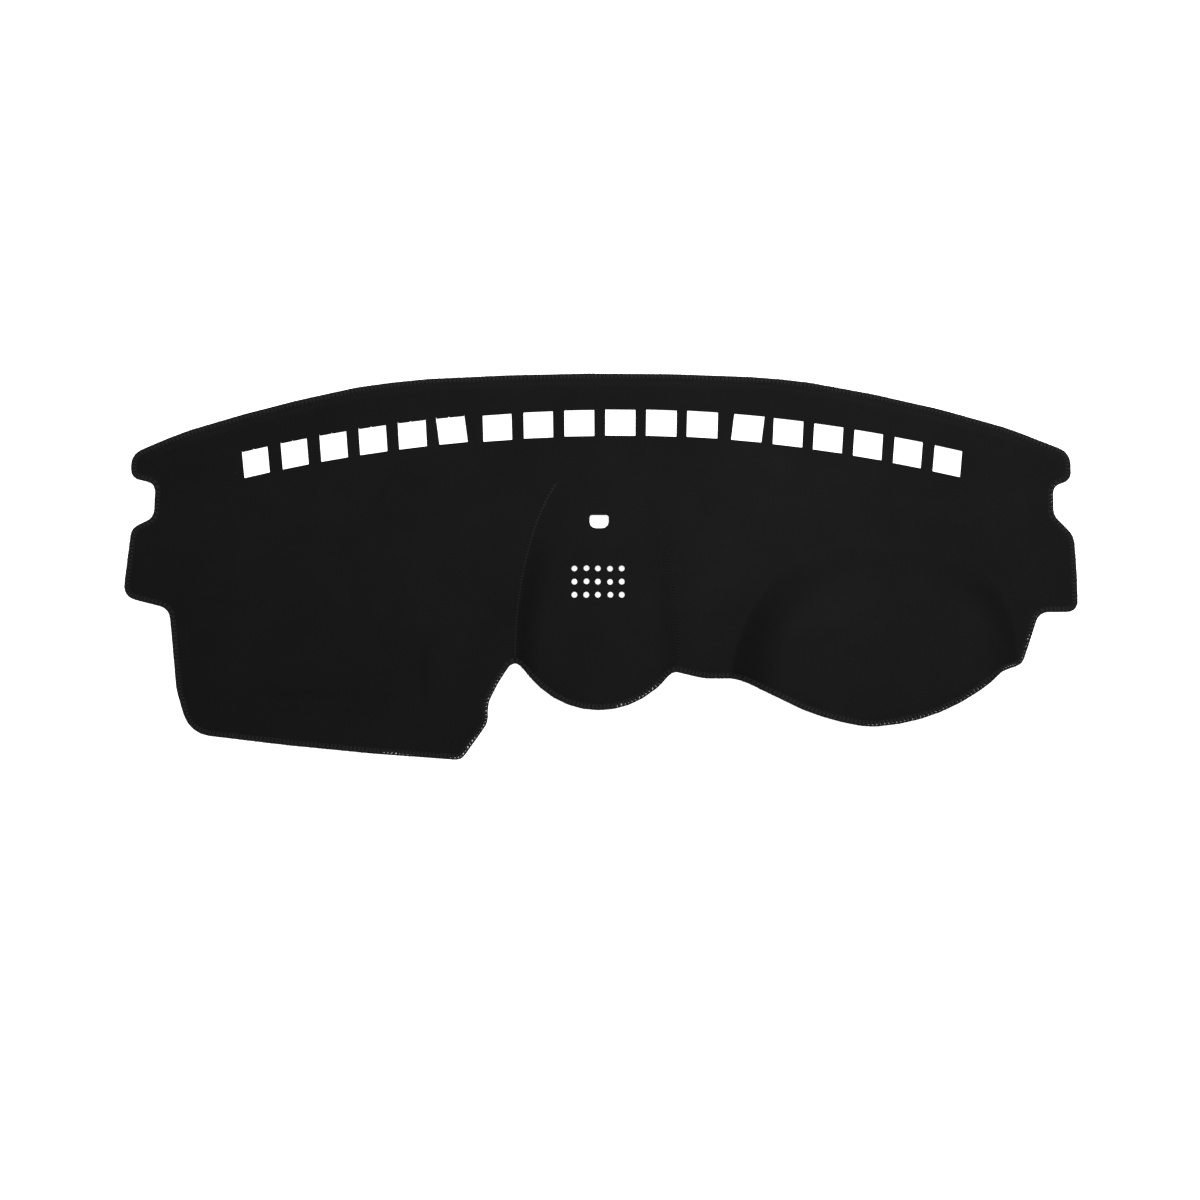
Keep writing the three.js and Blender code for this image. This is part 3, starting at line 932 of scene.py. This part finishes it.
@dataclass
class OverlockEdge:
    """The yarn overlocked round the whole rim: wraps, an edge chain and a needle line."""

    rim: SmoothLine
    drape: Drape
    loose: LooseEdge = LooseEdge()
    narrowing: float = 0.32
    pitch: float = 5.8 * MM
    wander: float = 0.35 * MM
    insets: tuple[float, float] = (-0.15 * MM, 0.25 * MM)
    lifts: tuple[float, float] = (-0.08 * MM, 0.10 * MM)
    points_per_stitch: int = 4
    chain: YarnRun = YarnRun(1.35 * MM, 0.1 * MM, 2.0 * MM, 0.15 * MM, 1.2 * MM)
    needle_line: YarnRun = YarnRun(8.3 * MM, 0.12 * MM, 3.4 * MM, 0.25 * MM, 0.4 * MM)
    wrap: Strand = Strand(
        (
            (0.2 * MM, 7.8 * MM, 1.15 * MM),
            (0.1 * MM, 5.2 * MM, 0.50 * MM),
            (0.0, 2.4 * MM, 0.50 * MM),
            (0.1 * MM, 0.75 * MM, 1.05 * MM),
            (0.2 * MM, 0.42 * MM, 2.1 * MM),
            (0.4 * MM, 0.8 * MM, 3.15 * MM),
            (0.7 * MM, 2.8 * MM, 3.62 * MM),
            (1.1 * MM, 5.6 * MM, 3.65 * MM),
            (1.4 * MM, 8.2 * MM, 3.05 * MM),
        ),
        2.2 * MM, 0.42 * MM, 8,
    )
    cross: Strand = Strand(
        (
            (1.6 * MM, 7.8 * MM, 3.6 * MM),
            (2.6 * MM, 5.4 * MM, 3.75 * MM),
            (4.4 * MM, 2.6 * MM, 3.75 * MM),
            (5.7 * MM, 0.9 * MM, 3.2 * MM),
        ),
        0.5 * MM, 0.42 * MM, 6,
    )

    def build(self, material: bpy.types.Material) -> list[bpy.types.Object]:
        """Wraps the rim and dresses the yarn."""
        count = int(round(self.rim.length / self.pitch))
        pitch = self.rim.length / count
        template = Strand.template((self.wrap, self.cross))
        local = coordinates(template)
        draw = np.random.default_rng(SEED)
        jitter = draw.uniform(-self.wander, self.wander, count)
        inset = draw.uniform(*self.insets, count)
        lift = draw.uniform(*self.lifts, count)
        starts = np.arange(count) * pitch + jitter
        apart = self.loose.shares(self.rim.place(starts, np.zeros(count)))[1]
        narrow = np.repeat(1 - self.narrowing * apart, len(local))
        run = np.repeat(starts, len(local)) + np.tile(local[:, 0], count) * narrow
        across = np.tile(local[:, 1], count) + np.repeat(inset, len(local))
        depth = np.tile(local[:, 2], count)
        upper = depth > self.drape.thickness / 2
        depth = depth + np.repeat(lift, len(local)) * upper
        mesh = repeat(template, count, "overlock_wraps")
        plan = self.rim.place(run, across)
        move_to(mesh, self.drape.place(plan[:, 0], plan[:, 1], depth))
        pieces = [add_object("overlock_wraps", mesh, material)]
        along = np.arange(0.0, self.rim.length, pitch / self.points_per_stitch)
        for name, yarn in (("overlock_chain", self.chain), ("overlock_needle_line", self.needle_line)):
            inset, depth = yarn.at(2 * math.pi * along / pitch)
            plan = self.rim.place(along, inset)
            places = self.drape.place(plan[:, 0], plan[:, 1], depth)
            pieces.append(add_object(name, yarn_tube(name, places, yarn.radius, True), material))
        dress_yarn(pieces, "edge_overlock")
        return pieces


@dataclass
class DartSeam:
    """A dart seam along one side of the hump's foot: a welt of yarn under slanting stitches."""

    name: str
    replaced: str
    side: int
    length: float
    drape: Drape
    start: float = 9 * MM
    overrun: float = 2 * MM
    pitch: float = 4.6 * MM
    jitter: float = 0.3 * MM
    points_per_stitch: int = 3
    welt: YarnRun = YarnRun(0.0, 0.25 * MM, 3.9 * MM, 0.0, 1.0 * MM)
    stitch: Strand = Strand(
        (
            (-0.9 * MM, -2.2 * MM, 3.75 * MM),
            (-0.5 * MM, -1.0 * MM, 4.65 * MM),
            (0.0, 0.6 * MM, 5.0 * MM),
            (0.5 * MM, 2.1 * MM, 4.65 * MM),
            (0.9 * MM, 3.3 * MM, 3.75 * MM),
        ),
        1.3 * MM, 0.4 * MM, 8,
    )

    def foot(self, run: np.ndarray, out: np.ndarray) -> np.ndarray:
        """Plan points along the foot of the hump, and out from it."""
        hump = self.drape.hump
        share = np.clip(run / hump.reach, 0.0, 1.0)
        angle = np.arcsin(share)
        out_x = np.cos(angle) * hump.reach
        out_y = np.sin(angle) * hump.half_width
        scale = out / np.hypot(out_x, out_y)
        x = hump.x + self.side * (hump.half_width * np.cos(angle) + scale * out_x)
        return np.stack([x, hump.y + hump.reach * share + scale * out_y], axis=1)

    def build(self, material: bpy.types.Material) -> list[bpy.types.Object]:
        """Sews and dresses the seam."""
        count = int((self.length - self.start) / self.pitch)
        template = Strand.template((self.stitch,))
        local = coordinates(template)
        draw = np.random.default_rng(SEED + 1 + self.side)
        jitter = draw.uniform(-self.jitter, self.jitter, count)
        starts = self.start + np.arange(count) * self.pitch + jitter
        run = np.repeat(starts, len(local)) + np.tile(local[:, 0], count)
        plan = self.foot(run, np.tile(local[:, 1], count))
        mesh = repeat(template, count, self.name)
        move_to(mesh, self.drape.place(plan[:, 0], plan[:, 1], np.tile(local[:, 2], count)))
        stitches = add_object(self.name, mesh, material)
        step = self.pitch / self.points_per_stitch
        along = np.arange(self.start - self.overrun, self.length + self.overrun, step)
        inset, depth = self.welt.at(2 * math.pi * along / self.pitch)
        plan = self.foot(along, inset)
        places = self.drape.place(plan[:, 0], plan[:, 1], depth)
        welt_name = f"{self.name}_welt"
        welt = add_object(welt_name, yarn_tube(welt_name, places, self.welt.radius, False), material)
        dress_yarn([stitches, welt], self.replaced)
        return [stitches, welt]


# Studio


@dataclass
class Studio:
    """A plain white floor, an overhead soft light and the camera straight above."""

    camera_place: tuple[float, float, float] = (-1.51 * MM, -49.0 * MM, 1900 * MM)
    half_frame: float = 882 * MM
    sensor: float = 36.0
    floor_size: float = 14.0
    floor_drop: float = 0.05 * MM
    floor_colour: tuple[float, float, float] = (0.86, 0.86, 0.86)
    floor_roughness: float = 0.9
    floor_specular: float = 0.1
    floor_glow: float = 0.9
    world_strength: float = 0.48
    key_power: float = 82.0
    key_place: tuple[float, float, float] = (0.5, 0.85, 2.3)
    key_size: float = 1.5

    def build(self) -> None:
        """Sets floor, lights and camera."""
        self.floor()
        self.world()
        self.key()
        self.camera()

    def floor(self) -> None:
        """A plain pale lit floor just under the mat, which throws no light up onto it."""
        bm = bmesh.new()
        bmesh.ops.create_grid(bm, x_segments=1, y_segments=1, size=self.floor_size / 2)
        bmesh.ops.translate(bm, verts=bm.verts, vec=(0, 0, -self.floor_drop))
        mesh = bpy.data.meshes.new("floor")
        bm.to_mesh(mesh)
        bm.free()
        material = bpy.data.materials.new("white_floor")
        material.use_nodes = True
        shader = material.node_tree.nodes["Principled BSDF"]
        shader.inputs["Base Color"].default_value = (*self.floor_colour, 1.0)
        shader.inputs["Roughness"].default_value = self.floor_roughness
        shader.inputs["Specular IOR Level"].default_value = self.floor_specular
        shader.inputs["Emission Color"].default_value = WHITE
        shader.inputs["Emission Strength"].default_value = self.floor_glow
        floor = add_object("floor", mesh, material)
        floor.visible_diffuse = False
        floor.visible_glossy = False

    def world(self) -> None:
        """Even white light from all round."""
        world = bpy.data.worlds.new("studio")
        world.use_nodes = True
        background = world.node_tree.nodes["Background"]
        background.inputs["Color"].default_value = WHITE
        background.inputs["Strength"].default_value = self.world_strength
        bpy.context.scene.world = world

    def key(self) -> None:
        """A soft square light overhead."""
        lamp = bpy.data.lights.new("overhead_softbox", "AREA")
        lamp.energy = self.key_power
        lamp.shape = "SQUARE"
        lamp.size = self.key_size
        holder = bpy.data.objects.new("overhead_softbox", lamp)
        holder.location = self.key_place
        bpy.context.scene.collection.objects.link(holder)

    def camera(self) -> None:
        """The camera, looking straight down with the windscreen edge up."""
        camera = bpy.data.cameras.new("camera")
        camera.sensor_width = self.sensor
        camera.lens = self.sensor / 2 * self.camera_place[2] / self.half_frame
        holder = bpy.data.objects.new("camera", camera)
        holder.location = self.camera_place
        bpy.context.scene.collection.objects.link(holder)
        bpy.context.scene.camera = holder
        bpy.context.scene.view_settings.view_transform = "Standard"


@dataclass
class CoverMat:
    """The whole mat, put together from the CAD frame's own outlines."""

    drape: Drape = field(default_factory=Drape)
    flat_area: float = 0.585
    rim_step: float = 1.0 * MM
    rim_rounding: float = 3.0 * MM
    largest_hole: float = 10000 * MM2

    def build(self) -> None:
        book = NodeBook()
        outline = wall_loops(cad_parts["edge_overlock"])[0]
        rim = SmoothLine(outline, self.rim_step, self.rim_rounding)
        log.info("rim %.3f m long", rim.length)
        loops = wall_loops(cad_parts["felt_mat"])
        holes = [line for line in loops if plan_area(line) < self.largest_hole]
        log.info("%d windows and holes", len(holes))
        felt = FeltSheet(rim, holes, self.drape).build(FELT.build(book))
        log.info("felt sheet: %d faces", len(felt.data.polygons))
        yarn = OverlockEdge(rim, self.drape).build(EDGING_YARN.build(book))
        for name, replaced, side, length, finish in (
            # The left seam takes the lighter yarn, a painted highlight on its raised ridge.
            ("seam_stitches_left", "hump_seam_left", -1, 262 * MM, SEAM_YARN_PAINTED_HIGHLIGHT),
            ("seam_stitches_right", "hump_seam_right", 1, 190 * MM, SEAM_YARN),
        ):
            yarn += DartSeam(name, replaced, side, length, self.drape).build(finish.build(book))
        for piece in yarn:
            log.info("%s: %d faces", piece.name, len(piece.data.polygons))


def main() -> None:
    """Builds the mat and the studio."""
    logging.basicConfig(level=logging.INFO)
    Studio().build()
    CoverMat().build()


if __name__ == "__main__":
    main()
